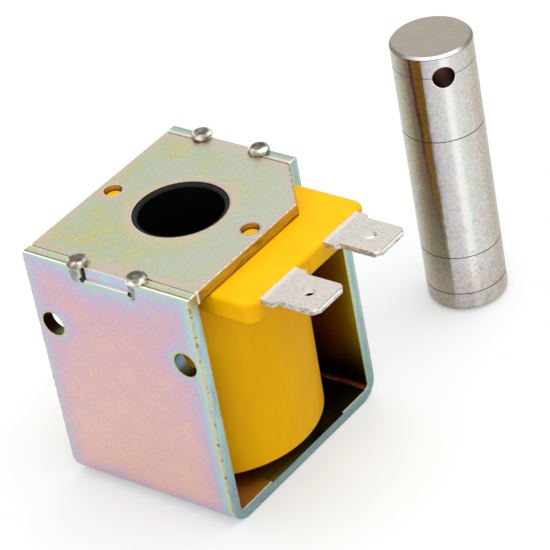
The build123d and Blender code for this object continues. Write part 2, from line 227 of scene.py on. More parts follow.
# Painted shade: near black towards the back and low down at the foot
back_shadow = add(tree, "MapRange",
              {"Value": place.outputs["Y"], "From Min": -5.0, "From Max": 3.0, "To Max": 0.9})
to_foot = add(tree, "MapRange", {"Value": height, "From Min": 11.0, "From Max": 3.5})
back_shadow = add(tree, "Math", {0: back_shadow, 1: to_foot}, operation="MULTIPLY")
inner_shade_color = add(tree, "MixRGB", {0: back_shadow, 1: inner_shade_color, 2: "#2a1a0e"})
outward = add(tree, "Math", {0: place.outputs["Y"]}, operation="SIGN")
outward = add(tree, "Math", {0: outward, 1: turned.outputs["Y"]}, operation="MULTIPLY")
inward = add(tree, "MapRange", {"Value": outward, "From Min": -0.3, "From Max": -0.7})
low_down = add(tree, "Math", {0: height, 1: 5.0}, operation="LESS_THAN")
upward = add(tree, "MapRange", {"Value": turned.outputs["Z"], "From Min": 0.4, "From Max": 0.75})
base_top = add(tree, "Math", {0: upward, 1: low_down}, operation="MULTIPLY")
inward = add(tree, "Math", {0: inward, 1: base_top}, operation="MAXIMUM")
# In the inner bend: a reddish band between dark painted shade lines along the crease, broken into patches
in_bend = add(tree, "Math", {0: depth, 1: outer_half - steel - 0.75}, operation="GREATER_THAN")
near_base = add(tree, "Math", {0: height, 1: steel + 0.7}, operation="LESS_THAN")
in_bend = add(tree, "Math", {0: in_bend, 1: near_base}, operation="MULTIPLY")
along = add(tree, "Math", {0: depth, 1: height}, operation="ADD")
crease_place = add(tree, "MapRange", {"Value": along, "From Min": 15.8, "From Max": 17.2})
crease_tone_and_shade = add(tree, "ValToRGB", {0: crease_place}, stops=(
    (0.0, "#2a160e"), (0.1, "#c08a80"), (0.2, "#d8b0aa"), (0.28, "#a5604c"), (0.55, "#8a4634"),
    (0.8, "#4c2418"), (1.0, "#22120a")))
along_crease = add(tree, "VectorMath", {0: mm, 1: (0.5, 3.0, 3.0)}, operation="MULTIPLY")
along_crease = add(tree, "TexNoise", {"Vector": along_crease, "Scale": 1.0, "Detail": 3.0})
crease_patches = add(tree, "MapRange", {"Value": along_crease, "From Min": 0.36, "From Max": 0.56})
in_bend = add(tree, "Math", {0: in_bend, 1: crease_patches}, operation="MULTIPLY")
inner_shade_color = add(tree, "MixRGB", {0: in_bend, 1: inner_shade_color, 2: crease_tone_and_shade})
color = add(tree, "MixRGB", {0: inward, 1: outer_color, 2: inner_shade_color})

# Sheared side edges of the strip: teal, with a beige and a yellow line outside and a yellow-green line
# inside, paler on the front leg, where they are golden at the top
drawn_out = add(tree, "CombineXYZ", {0: skin_gap, 1: along, 2: place.outputs["Y"]})
drawn_out = add(tree, "VectorMath", {0: drawn_out, 1: (1.6, 0.3, 0.05)}, operation="MULTIPLY")
drift = add(tree, "TexNoise", {"Vector": drawn_out, "Scale": 1.0, "Detail": 4.0, "Roughness": 0.65})
through = add(tree, "Math", {0: drift, 1: 0.7, 2: skin_gap}, operation="MULTIPLY_ADD")
through = add(tree, "MapRange", {"Value": through, "From Min": 0.35, "From Max": 2.15})
front_side_color = add(tree, "ValToRGB", {0: through}, stops=(
    (0.0, "#cfbab2"), (0.08, "#d0bdb0"), (0.17, "#d2d09c"), (0.29, "#a8ccc8"), (0.6, "#a0c4ce"),
    (0.8, "#a3bcc4"), (0.93, "#9fb59a"), (1.0, "#bcbb96")))
front_side_color = layer(tree, front_side_color, "#c4ae6a", height, 33.5, 36.8, 0.7)
back_side_color = add(tree, "ValToRGB", {0: through}, stops=(
    (0.0, "#b3a390"), (0.1, "#c6c2ab"), (0.25, "#a8c2b8"), (0.5, "#97b6bb"), (0.72, "#a3bfb4"),
    (0.88, "#bfcba6"), (1.0, "#d3c8a4")))
side_color = add(tree, "MixRGB", {0: behind, 1: front_side_color, 2: back_side_color})
side_color = layer(tree, side_color, "#869fb4", drift, 0.5, 0.66, 0.6)
# Painted shade: darker teal towards the foot, where the edges reflect the shaded floor, and a brownish line
# at the foot's edge
side_color = layer(tree, side_color, "#668a90", height, 16.0, 1.0, 0.6)
side_color = layer(tree, side_color, "#6d5a50", height, 0.4, 0.2, 0.8)
side_color = add(tree, "MixRGB", {0: 0.9, 1: side_color, 2: speck.outputs["Color"]}, blend_type="SOFT_LIGHT")
sideways = add(tree, "Math", {0: turned.outputs["X"]}, operation="ABSOLUTE")
sideways = add(tree, "MapRange", {"Value": sideways, "From Min": 0.45, "From Max": 0.8})
# The small wall of the nip in the base is painted dark as shade
inside_nip = add(tree, "Math", {0: side_gap, 1: 0.6}, operation="GREATER_THAN")
inside_nip = add(tree, "Math", {0: inside_nip, 1: low_down}, operation="MULTIPLY")
nip_wall_shade = add(tree, "Math", {0: inside_nip, 1: sideways}, operation="MULTIPLY")
side_color = add(tree, "MixRGB", {0: nip_wall_shade, 1: side_color, 2: "#2e2814"})
color = add(tree, "MixRGB", {0: sideways, 1: color, 2: side_color})

# Tops of the legs: a painted highlight on the rounded outer edge, then olive, yellow-green, blue, a pale
# painted highlight of the plate's edge and a dark line at the plate
top_color = add(tree, "MapRange", {"Value": out_gap, "From Min": 0.0, "From Max": steel})
front_top_color = add(tree, "ValToRGB", {0: top_color}, stops=(
    (0.0, "#f0ece2"), (0.14, "#fffdf6"), (0.19, "#57523a"), (0.29, "#a5a37c"), (0.4, "#bfc39f"),
    (0.6, "#b6c8b4"), (0.78, "#c1c8a8"), (0.88, "#dcd6c4"), (0.94, "#ece6d8"), (1.0, "#857a70")))
back_top_color = add(tree, "ValToRGB", {0: top_color}, stops=(
    (0.0, "#8b9b92"), (0.3, "#a2b6a9"), (0.6, "#b0bfae"), (0.8, "#e2dbcf"), (0.93, "#d8c8c0"),
    (1.0, "#5f524c")))
top_color = add(tree, "MixRGB", {0: behind, 1: front_top_color, 2: back_top_color})
top_color = add(tree, "MixRGB", {0: 0.9, 1: top_color, 2: speck.outputs["Color"]}, blend_type="SOFT_LIGHT")
high_up = add(tree, "Math", {0: height, 1: plate_under - 0.1}, operation="GREATER_THAN")
on_top = add(tree, "Math", {0: upward, 1: high_up}, operation="MULTIPLY")
color = add(tree, "MixRGB", {0: on_top, 1: color, 2: top_color})
# The notch's floor is painted near white as highlight
notch_floor_highlight = add(tree, "Math", {0: height, 1: plate_under, 2: 0.3}, operation="COMPARE")
notch_floor_highlight = add(tree, "Math", {0: notch_floor_highlight, 1: upward}, operation="MULTIPLY")
color = add(tree, "MixRGB", {0: notch_floor_highlight, 1: color, 2: "#faf6ea"})

# Walls of the drilled holes, painted with light and shade: teal where the wall faces up, olive to near black
# as painted shade where it faces down
in_hole = add(tree, "Math", {0: hole_gap, 1: 0.0, 2: 0.06}, operation="COMPARE")
flat_on = add(tree, "Math", {0: outward}, operation="ABSOLUTE")
flat_on = add(tree, "Math", {0: flat_on, 1: 0.5}, operation="LESS_THAN")
in_hole = add(tree, "Math", {0: in_hole, 1: flat_on}, operation="MULTIPLY")
wall_place = add(tree, "VectorMath", {0: folded, 1: leg_hole}, operation="SUBTRACT")
wall_place = add(tree, "VectorMath", {0: wall_place, 1: (0.8, 0.0, 0.45)}, operation="DOT_PRODUCT")
wall_place = add(tree, "Math", {0: grain, 1: 1.0, 2: wall_place}, operation="MULTIPLY_ADD")
wall_place = add(tree, "MapRange", {"Value": wall_place, "From Min": -1.1, "From Max": 2.0})
hole_wall_light_and_shade = add(tree, "ValToRGB", {0: wall_place}, stops=(
    (0.0, "#748c94"), (0.14, "#5c8076"), (0.27, "#52562c"), (0.45, "#362e10"), (1.0, "#201504")))
color = add(tree, "MixRGB", {0: in_hole, 1: color, 2: hole_wall_light_and_shade})

# Bare heads, their rounded sides painted bright as highlight round darker flat tops, and the smears that the
# riveting tool left under them
streak = add(tree, "TexNoise", {"Vector": mm, "Scale": 1 / 0.5, "Detail": 4.0})
smear_color = add(tree, "ValToRGB", {0: streak}, stops=(
    (0.4, "#7c7268"), (0.55, "#9d9389"), (0.7, "#cfc6ba")))
for smear_x, smear_z in ((-5.2, 36.4), (4.4, 36.3)):
    smear = add(tree, "VectorMath", {0: mm, 1: (1.0, 0.0, 0.4)}, operation="MULTIPLY")
    smear = add(tree, "VectorMath", {0: smear, 1: (smear_x, 0.0, 0.4 * smear_z)}, operation="DISTANCE")
    smear = add(tree, "Math", {0: behind, 1: 9.0, 2: smear}, operation="MULTIPLY_ADD")
    smear = add(tree, "Math", {0: streak, 1: 0.6, 2: smear}, operation="MULTIPLY_ADD")
    color = layer(tree, color, smear_color, smear, 1.1, 0.85, 0.85)
dent = add(tree, "TexNoise", {"Vector": mm, "Scale": 1 / 1.1, "Detail": 1.0})
head_color_and_highlight = add(tree, "ValToRGB", {0: dent}, stops=((0.38, "#7d7668"), (0.5, "#b3ac9f"), (0.62, "#eeeade")))
dome_color = add(tree, "ValToRGB", {0: dent}, stops=((0.36, "#56524a"), (0.55, "#716c60"), (0.7, "#989286")))
head_color_and_highlight = layer(tree, head_color_and_highlight, dome_color, turned.outputs["Z"], 0.9, 0.98)
color = layer(tree, color, head_color_and_highlight, height, leg_height + 0.02, leg_height + 0.1)

# Nicks of the shears on the corner between each leg's face and its side edge
nick = add(tree, "TexNoise", {"Vector": mm, "Scale": 1 / 0.6, "Detail": 2.0})
nick = add(tree, "MapRange", {"Value": nick, "From Min": 0.56, "From Max": 0.62})
corner = add(tree, "MapRange", {"Value": corner_gap, "From Min": 0.65, "From Max": 0.52, "To Max": 0.65})
nick = add(tree, "Math", {0: nick, 1: corner}, operation="MULTIPLY")
color = add(tree, "MixRGB", {0: nick, 1: color, 2: "#665a50"})
orange_peel = add(tree, "TexNoise", {"Vector": mm, "Scale": 1 / 0.35, "Detail": 3.0})
join_finish(yoke_finish, color, orange_peel, 0.06, 0.2)
nodes["yoke_frame"].material_slots[0].material = yoke_finish


# Top plate: flat steel, 1.8 mm, stamped with a tab for each leg's notch, the bobbin's hole, two locating
# holes and a cut corner. It is plated as the yoke is, comes out khaki, and lies between the legs.
plate_half_x, plate_half_y, tab_reach = 13.95, 14.65, 16.0
cut_x, cut_y = 6.75, 7.4
bobbin_hole_radius, pin_x, pin_hole_radius = 6.6, 11.6, 1.3
plate_top = leg_height

# Yellow chromate again, thicker and more even than on the yoke: khaki to grey-green with faint pink near the
# edges. The stamped edges are rounded, with a pale painted highlight, and the sheared sides are gold to
# brown.
plate_finish, tree, mm = new_finish("yellow_chromated_plate", {"Metallic": 1.0, "Roughness": 0.4})
folded = add(tree, "VectorMath", {0: mm}, operation="ABSOLUTE")
across, depth, height = add(tree, "SeparateXYZ", {0: folded}).outputs
turned = add(tree, "SeparateXYZ", {0: add(tree, "TexCoord", {}).outputs["Normal"]})
flattened = add(tree, "VectorMath", {0: folded, 1: (1.0, 1.0, 0.0)}, operation="MULTIPLY")

# How far a point lies from the plate's sides, ends, cut corner and holes
side_gap = add(tree, "Math", {0: plate_half_x, 1: across}, operation="SUBTRACT")
end_gap = add(tree, "Math", {0: plate_half_y, 1: depth}, operation="SUBTRACT")
cut_normal = Vector((cut_y, cut_x, 0.0)).normalized()
cut_line = cut_normal.dot(Vector((plate_half_x - cut_x, plate_half_y, 0.0)))
cut_gap = add(tree, "VectorMath", {0: mm, 1: cut_normal}, operation="DOT_PRODUCT")
cut_gap = add(tree, "Math", {0: cut_line, 1: cut_gap}, operation="SUBTRACT")
bore_gap = add(tree, "VectorMath", {0: flattened}, operation="LENGTH")
bore_gap = add(tree, "Math", {0: bore_gap, 1: bobbin_hole_radius}, operation="SUBTRACT")
pin_gap = add(tree, "VectorMath", {0: flattened, 1: (pin_x, 0.0, 0.0)}, operation="DISTANCE")
pin_gap = add(tree, "Math", {0: pin_gap, 1: pin_hole_radius}, operation="SUBTRACT")
rim_gap = side_gap
for gap in (cut_gap, bore_gap, pin_gap):
    rim_gap = add(tree, "Math", {0: rim_gap, 1: gap, 2: 0.5}, operation="SMOOTH_MIN")
edge_gap = add(tree, "Math", {0: rim_gap, 1: end_gap, 2: 0.5}, operation="SMOOTH_MIN")

# The top's film: clouds, greyer to the right, pink by the edges, yellow and pink round the bore, and a rim
# painted pale as highlight, mottled with nicks and painted glints to the right
cloud = add(tree, "TexNoise", {"Vector": mm, "Scale": 1 / 5.0, "Detail": 6.0, "Roughness": 0.7})
face_color = add(tree, "ValToRGB", {0: cloud}, stops=(
    (0.3, "#bfbdaf"), (0.42, "#b7bfa8"), (0.52, "#babd99"), (0.6, "#c2c08a"), (0.72, "#c6b698")))
right_side = add(tree, "VectorMath", {0: mm, 1: (1.0, 0.35, 0.0)}, operation="DOT_PRODUCT")
right_side = add(tree, "MapRange", {"Value": right_side, "From Min": -6.0, "From Max": 14.0, "To Max": 0.7})
face_color = add(tree, "MixRGB", {0: right_side, 1: face_color, 2: "#bec2b3"})
near_edge = add(tree, "Math", {0: cloud, 1: -3.0, 2: edge_gap}, operation="MULTIPLY_ADD")
face_color = layer(tree, face_color, "#cdb8ae", near_edge, 0.4, -1.2, 0.55)
halo = add(tree, "Math", {0: cloud, 1: -2.4, 2: bore_gap}, operation="MULTIPLY_ADD")
face_color = layer(tree, face_color, "#cbc490", halo, 0.6, -0.6, 0.5)
face_color = layer(tree, face_color, "#ceb4b2", bore_gap, 0.95, 0.3, 0.65)
speck = add(tree, "TexNoise", {"Vector": mm, "Scale": 1 / speck_size, "Detail": 4.0, "Roughness": 0.8})
face_color = add(tree, "MixRGB", {0: 0.8, 1: face_color, 2: speck.outputs["Color"]}, blend_type="SOFT_LIGHT")
# Painted highlight on the rounded rim, with dark nicks and bright painted glints
rim_highlight_color = add(tree, "ValToRGB", {0: speck}, stops=((0.38, "#564e44"), (0.5, "#857b6e"), (0.62, "#d8d0c4")))
rim_highlight_color = add(tree, "MixRGB", {0: right_side, 1: "#cfc4ba", 2: rim_highlight_color})
face_color = layer(tree, face_color, rim_highlight_color, rim_gap, 0.28, 0.16, 0.8)

# The sheared sides are streaked, with painted shade at the foot, and the tabs' ends are like the leg round
# them
streaks = add(tree, "VectorMath", {0: mm, 1: (0.3, 0.3, 2.4)}, operation="MULTIPLY")
streaks = add(tree, "TexNoise", {"Vector": streaks, "Scale": 1 / 1.3, "Detail": 4.0, "Roughness": 0.65})
side_color = add(tree, "ValToRGB", {0: streaks}, stops=(
    (0.32, "#7d7434"), (0.45, "#b0a048"), (0.55, "#c2ae5c"), (0.66, "#b98a50")))
side_color = layer(tree, side_color, "#4a330c", height, plate_under + 0.5, plate_under, 0.7)
upright = add(tree, "Math", {0: turned.outputs["Z"]}, operation="ABSOLUTE")
color = layer(tree, face_color, side_color, upright, 0.6, 0.3)
# The plate's rounded front corner is painted pale as highlight
corner_highlight_gap = add(tree, "VectorMath", {0: flattened, 1: (plate_half_x, plate_half_y, 0.0)},
                   operation="DISTANCE")
color = layer(tree, color, "#e8e0cc", corner_highlight_gap, 0.5, 0.3, 0.8)
tab_face = add(tree, "Math", {0: depth, 1: tab_reach - 0.05}, operation="GREATER_THAN")
tab_color = add(tree, "ValToRGB", {0: cloud}, stops=((0.38, "#b9cfd8"), (0.5, "#bcc4dc"), (0.62, "#cdbdd0")))
color = add(tree, "MixRGB", {0: tab_face, 1: color, 2: tab_color})
# The tabs' top edges are painted pale as highlight
tab_edge_highlight = add(tree, "MapRange", {"Value": height, "From Min": plate_top - 0.16, "From Max": plate_top})
tab_edge_highlight = add(tree, "Math", {0: tab_edge_highlight, 1: tab_face}, operation="MULTIPLY")
color = add(tree, "MixRGB", {0: tab_edge_highlight, 1: color, 2: "#f4f0e4"})
orange_peel = add(tree, "TexNoise", {"Vector": mm, "Scale": 1 / 0.4, "Detail": 3.0})
join_finish(plate_finish, color, orange_peel, 0.05, 0.2)
nodes["top_plate"].material_slots[0].material = plate_finish


# Coil's body: glass-filled nylon, moulded in one shot round the wound bobbin and the terminals, with the
# terminal block at its head and two pins that locate it in the plate. Satin, deep yellow.
coil_finish, tree, mm = new_finish("moulded_yellow_nylon", {
    "Roughness": 0.5, "IOR": 1.53, "Specular IOR Level": 0.08})
filled = add(tree, "VectorMath", {0: mm, 1: (1.0, 1.0, 0.3)}, operation="MULTIPLY")
flow = add(tree, "TexNoise", {"Vector": filled, "Scale": 1 / 2.4, "Detail": 5.0, "Roughness": 0.6})
color = add(tree, "ValToRGB", {0: flow}, stops=((0.3, "#fab600"), (0.5, "#fdbb00"), (0.7, "#ffc000")))
spark = add(tree, "TexNoise", {"Vector": mm, "Scale": 1 / 0.15, "Detail": 2.0})
wave = add(tree, "Math", {0: flow, 1: 3.0, 2: spark}, operation="MULTIPLY_ADD")
join_finish(coil_finish, color, wave, 0.12, 0.1)
nodes["coil_overmould"].material_slots[0].material = coil_finish


# Bobbin: black glass-filled nylon spool that carries the winding. Its tube is the plunger's guide, and its
# upper rim shows in the plate's hole. Moulded, satin, with a polished bore; its upright faces, the bore among
# them, are painted near black as shade.
bobbin_finish, tree, mm = new_finish("moulded_black_nylon", {
    "Roughness": 0.55, "IOR": 1.53, "Specular IOR Level": 0.1})
turned = add(tree, "SeparateXYZ", {0: add(tree, "TexCoord", {}).outputs["Normal"]})
flow = add(tree, "TexNoise", {"Vector": mm, "Scale": 1 / 0.8, "Detail": 4.0})
color = add(tree, "ValToRGB", {0: flow}, stops=((0.3, "#161618"), (0.7, "#242427")))
# Upright faces, such as the bore, painted near black as shade
color = layer(tree, color, "#020202", turned.outputs["Z"], 0.9, 0.4)
join_finish(bobbin_finish, color, flow, 0.15, 0.1)
nodes["bobbin"].material_slots[0].material = bobbin_finish


# Spade terminals: 6.3 x 0.8 mm tabs, stamped from tinned brass strip and moulded into the block. The faces
# are dull tin with rolling marks, and the sheared edges show the brass through a thin grey skin.
block_reach, blade_tip, blade_bevel = 20.5, 28.9, 0.22
blade_hole = (25.3, 6.85, 0.0)
blade_hole_radius, terminals_middle = 0.88, 0.45
terminal_finish, tree, mm = new_finish("dull_tinned_brass", {"Metallic": 1.0, "Roughness": 0.5})
turned = add(tree, "SeparateXYZ", {0: add(tree, "TexCoord", {}).outputs["Normal"]})
place = add(tree, "SeparateXYZ", {0: mm})

# Faces: mottled tin, light at the block, with a line where the tip's bevel starts
rolled = add(tree, "VectorMath", {0: mm, 1: (0.7, 1.4, 1.0)}, operation="MULTIPLY")
mottle = add(tree, "TexNoise", {"Vector": rolled, "Scale": 1 / 0.4, "Detail": 6.0, "Roughness": 0.85})
face_color = add(tree, "ValToRGB", {0: mottle}, stops=(
    (0.34, "#7e776d"), (0.42, "#c4bfb7"), (0.56, "#d1cdc6"), (0.7, "#dfdbd5")))
face_color = layer(tree, face_color, "#e8e4de", place.outputs["X"], block_reach + 0.7, block_reach + 0.4, 0.5)
bevel_line = add(tree, "Math", {0: place.outputs["X"], 1: blade_tip - blade_bevel - 0.06, 2: 0.08},
                 operation="COMPARE")
bevel_line = add(tree, "Math", {0: bevel_line, 1: 0.6}, operation="MULTIPLY")
face_color = add(tree, "MixRGB", {0: bevel_line, 1: face_color, 2: "#8e918c"})

# Sheared edges, mottled with painted glints, and the walls of the latching holes
shear = add(tree, "VectorMath", {0: mm, 1: (0.6, 0.6, 1.6)}, operation="MULTIPLY")
shear = add(tree, "TexNoise", {"Vector": shear, "Scale": 1 / 0.45, "Detail": 3.0})
edge_and_glint_color = add(tree, "ValToRGB", {0: shear}, stops=(
    (0.34, "#9a8f82"), (0.46, "#c3bcb2"), (0.65, "#dcd7d0")))
upright = add(tree, "Math", {0: turned.outputs["Z"]}, operation="ABSOLUTE")
color = layer(tree, face_color, edge_and_glint_color, upright, 0.5, 0.2)
off_hole = add(tree, "VectorMath", {0: mm, 1: (0.0, terminals_middle, 0.0)}, operation="SUBTRACT")
off_hole = add(tree, "VectorMath", {0: off_hole}, operation="ABSOLUTE")
off_hole = add(tree, "VectorMath", {0: off_hole, 1: (1.0, 1.0, 0.0)}, operation="MULTIPLY")
off_hole = add(tree, "VectorMath", {0: off_hole, 1: blade_hole}, operation="DISTANCE")
in_hole = add(tree, "Math", {0: off_hole, 1: blade_hole_radius + 0.02}, operation="LESS_THAN")
color = add(tree, "MixRGB", {0: in_hole, 1: color, 2: "#e8e5e0"})
join_finish(terminal_finish, color, mottle, 0.05, 0.2)
for name in ("terminal_front", "terminal_rear"):
    nodes[name].material_slots[0].material = terminal_finish


# Winding: enamelled copper wire, 0.3 mm, wound in close turns on the bobbin. The outer layer's turns are
# real, over one ring that stands for the layers below them, and they end below the wire that leads out.
turn_count, wire_radius = 91.0, 0.15e-3
steps_per_turn, wire_sides, layers_sides = 40, 6, 96
winding_inner, winding_outer, winding_foot, winding_head = 6.55e-3, 11.5e-3, 4.85e-3, 32.35e-3
wire_finish, tree, mm = new_finish("enamelled_copper_wire", {
    "Metallic": 1.0, "Roughness": 0.28, "Coat Weight": 0.6, "Coat Roughness": 0.15})
enamel = add(tree, "TexNoise", {"Vector": mm, "Scale": 1 / 1.5, "Detail": 3.0})
color = add(tree, "ValToRGB", {0: enamel}, stops=((0.3, "#a85f30"), (0.5, "#b96c38"), (0.7, "#c98048")))
join_finish(wire_finish, color)

# The tree winds the outer layer as a helix of wire, and sweeps the layers below it as one ring
turns_tree = bpy.data.node_groups.new("wound_turns", "GeometryNodeTree")
for name in ("Turns", "Inner Radius", "Outer Radius", "Foot", "Head", "Wire Radius", "Material"):
    kind = "NodeSocketMaterial" if name == "Material" else "NodeSocketFloat"
    turns_tree.interface.new_socket(name, in_out="INPUT", socket_type=kind)
turns_tree.interface.new_socket("Geometry", in_out="OUTPUT", socket_type="NodeSocketGeometry")
sizes = add(turns_tree, "NodeGroupInput", {}).outputs
line_radius = add(turns_tree, "Math", {0: sizes["Outer Radius"], 1: sizes["Wire Radius"]},
                  operation="SUBTRACT")
tall = add(turns_tree, "Math", {0: sizes["Head"], 1: sizes["Foot"]}, operation="SUBTRACT")
rise = add(turns_tree, "Math", {0: sizes["Wire Radius"], 1: -2.0, 2: tall}, operation="MULTIPLY_ADD")
helix = add(turns_tree, "GeometryNodeCurveSpiral", {
    "Resolution": steps_per_turn, "Rotations": sizes["Turns"], "Start Radius": line_radius,
    "End Radius": line_radius, "Height": rise})
wire_round = add(turns_tree, "GeometryNodeCurvePrimitiveCircle",
                 {"Resolution": wire_sides, "Radius": sizes["Wire Radius"]})
turns_mesh = add(turns_tree, "GeometryNodeCurveToMesh",
                 {"Curve": helix, "Profile Curve": wire_round, "Fill Caps": True})
first_height = add(turns_tree, "Math", {0: sizes["Foot"], 1: sizes["Wire Radius"]}, operation="ADD")
first_place = add(turns_tree, "CombineXYZ", {2: first_height})
turns_mesh = add(turns_tree, "GeometryNodeTransform", {"Geometry": turns_mesh, "Translation": first_place})
layers_width = add(turns_tree, "Math", {0: line_radius, 1: sizes["Inner Radius"]}, operation="SUBTRACT")
layers_middle = add(turns_tree, "Math", {0: layers_width, 1: 0.5, 2: sizes["Inner Radius"]},
                    operation="MULTIPLY_ADD")
layers_line = add(turns_tree, "GeometryNodeCurvePrimitiveCircle",
                  {"Resolution": layers_sides, "Radius": layers_middle})
layers_section = add(turns_tree, "GeometryNodeCurvePrimitiveQuadrilateral", {0: layers_width, 1: tall})
layers_mesh = add(turns_tree, "GeometryNodeCurveToMesh",
                  {"Curve": layers_line, "Profile Curve": layers_section})
half_height = add(turns_tree, "Math", {0: tall, 1: 0.5, 2: sizes["Foot"]}, operation="MULTIPLY_ADD")
layers_place = add(turns_tree, "CombineXYZ", {2: half_height})
layers_mesh = add(turns_tree, "GeometryNodeTransform", {"Geometry": layers_mesh, "Translation": layers_place})
both = add(turns_tree, "GeometryNodeJoinGeometry", {0: turns_mesh})
turns_tree.links.new(layers_mesh.outputs[0], both.inputs[0])
both = add(turns_tree, "GeometryNodeRealizeInstances", {0: both})
both = add(turns_tree, "GeometryNodeSetMaterial", {"Geometry": both, "Material": sizes["Material"]})
add(turns_tree, "NodeGroupOutput", {0: both})
maker = new_object("winding_maker", bpy.data.meshes.new("winding_maker"))
winder = maker.modifiers.new("winder", "NODES")
winder.node_group = turns_tree
values = (turn_count, winding_inner, winding_outer, winding_foot, winding_head, wire_radius, wire_finish)
sockets = [item for item in turns_tree.interface.items_tree if item.in_out == "INPUT"]
for item, value in zip(sockets, values):
    winder[item.identifier] = value
view = bpy.context.evaluated_depsgraph_get()
turns_shape = bpy.data.meshes.new_from_object(maker.evaluated_get(view), depsgraph=view)
bpy.data.objects.remove(maker)
winding_turns = new_object("winding_turns", turns_shape)
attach(winding_turns, "frame")
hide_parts("winding")


# Leads and solder: the winding's two ends in the same enamelled wire, laid along the terminals' tangs and
# soldered there by hand, in bright tin solder with a rippled, flux-stained skin.
for name in ("lead_start", "lead_finish"):
    nodes[name].material_slots[0].material = wire_finish
solder_finish, tree, mm = new_finish("tin_solder", {"Metallic": 1.0})
ripple = add(tree, "TexNoise", {"Vector": mm, "Scale": 1 / 0.4, "Detail": 3.0})
color = add(tree, "ValToRGB", {0: ripple}, stops=((0.35, "#b9b4a4"), (0.5, "#cfcfcd"), (0.7, "#dcdcda")))
sheen = add(tree, "MapRange", {"Value": ripple, "To Min": 0.1, "To Max": 0.4})
join_finish(solder_finish, color, ripple, 0.3, 0.1, roughness=sheen)
for name in ("solder_front", "solder_rear"):
    nodes[name].material_slots[0].material = solder_finish


# Winding's tape: one turn of amber polyester film, glossy, wrapped over the wire and stuck down by its own
# adhesive. It shows a faint ripple of the turns.
wire_pitch = 2 * wire_radius * 1000
tape_finish, tree, mm = new_finish("amber_polyester_tape", {"Roughness": 0.22, "IOR": 1.64})
over_turns = add(tree, "TexWave", {"Vector": mm, "Scale": math.pi / 10 / wire_pitch, "Distortion": 1.5},
                 bands_direction="Z")
color = add(tree, "ValToRGB", {0: over_turns}, stops=((0.0, "#c08a3c"), (1.0, "#cc9848")))
join_finish(tape_finish, color, over_turns, 0.2, 0.1)
nodes["winding_tape"].material_slots[0].material = tape_finish


# Pole piece: soft steel core, turned on a lathe and riveted into the base from below. Fine turning rings
# cross it.
pole_finish, tree, mm = new_finish("turned_soft_steel", {"Metallic": 1.0, "Roughness": 0.35})
rings = add(tree, "TexWave", {"Vector": mm, "Scale": 0.8, "Distortion": 0.6}, wave_type="RINGS",
            rings_direction="Z")
color = add(tree, "ValToRGB", {0: rings}, stops=((0.0, "#a39d94"), (1.0, "#bbb6ae")))
join_finish(pole_finish, color, rings, 0.15, 0.05)
nodes["pole_piece"].material_slots[0].material = pole_finish


# Spring washer: hardened spring steel strip, blanked and curved, left dark and oily from tempering. It lies
# between the base and the coil, and presses the coil up to the plate.
washer_finish, tree, mm = new_finish("tempered_spring_steel", {"Metallic": 1.0})
oil = add(tree, "TexNoise", {"Vector": mm, "Scale": 1 / 2.0, "Detail": 4.0})
color = add(tree, "ValToRGB", {0: oil}, stops=((0.3, "#4a4a50"), (0.5, "#5d5852"), (0.7, "#736a5c")))
sheen = add(tree, "MapRange", {"Value": oil, "To Min": 0.25, "To Max": 0.55})
join_finish(washer_finish, color, roughness=sheen)
nodes["spring_washer"].material_slots[0].material = washer_finish


# Plunger: centreless-ground low-carbon steel bar with a thin clear passivated zinc, four scribed rings, a
# chamfered head, a rounded foot and a cross hole for the link's pin. It is loose, and slides in the bobbin.
plunger_x, plunger_y, plunger_radius, plunger_length = 12.3, 42.3, 5.82, 42.5
link_hole_radius, link_hole_depth, link_hole_angle = 1.6, 3.4, math.radians(-42.0)
chamfer, foot_round, top_ring_depth, half_scribe = 0.35, 1.5, 3.3, 0.07
plunger_finish, tree, mm = new_finish("ground_steel", {"Metallic": 1.0, "Roughness": 0.3})
turned = add(tree, "SeparateXYZ", {0: add(tree, "TexCoord", {}).outputs["Normal"]})
height = add(tree, "SeparateXYZ", {0: mm}).outputs["Z"]
from_axis = add(tree, "VectorMath", {0: mm, 1: (plunger_x, plunger_y, 0.0)}, operation="SUBTRACT")
flat = add(tree, "VectorMath", {0: from_axis, 1: (1.0, 1.0, 0.0)}, operation="MULTIPLY")
radius = add(tree, "VectorMath", {0: flat}, operation="LENGTH")

# Bands painted round the bar: dark bands of painted reflection and a white painted highlight, darker to the
# right, with a golden-brown band down one side, a paler foot and a fine grain over them
front_turn, gold_band_turn, waver_shift = math.radians(-47.5), math.radians(-30.0), 0.08
unturned = add(tree, "VectorRotate", {0: flat, "Angle": -front_turn}, rotation_type="Z_AXIS")
unturned = add(tree, "SeparateXYZ", {0: unturned})
turn = add(tree, "Math", {0: unturned.outputs["Y"], 1: unturned.outputs["X"]}, operation="ARCTAN2")
drawn_out = add(tree, "VectorMath", {0: mm, 1: (1.0, 1.0, 0.5)}, operation="MULTIPLY")
tint = add(tree, "TexNoise", {"Vector": drawn_out, "Scale": 1 / 1.6, "Detail": 6.0, "Roughness": 0.75})
waver = add(tree, "Math", {0: tint, 1: 0.16, 2: turn}, operation="MULTIPLY_ADD")
around = add(tree, "MapRange",
             {"Value": waver, "From Min": waver_shift - math.pi, "From Max": waver_shift + math.pi})
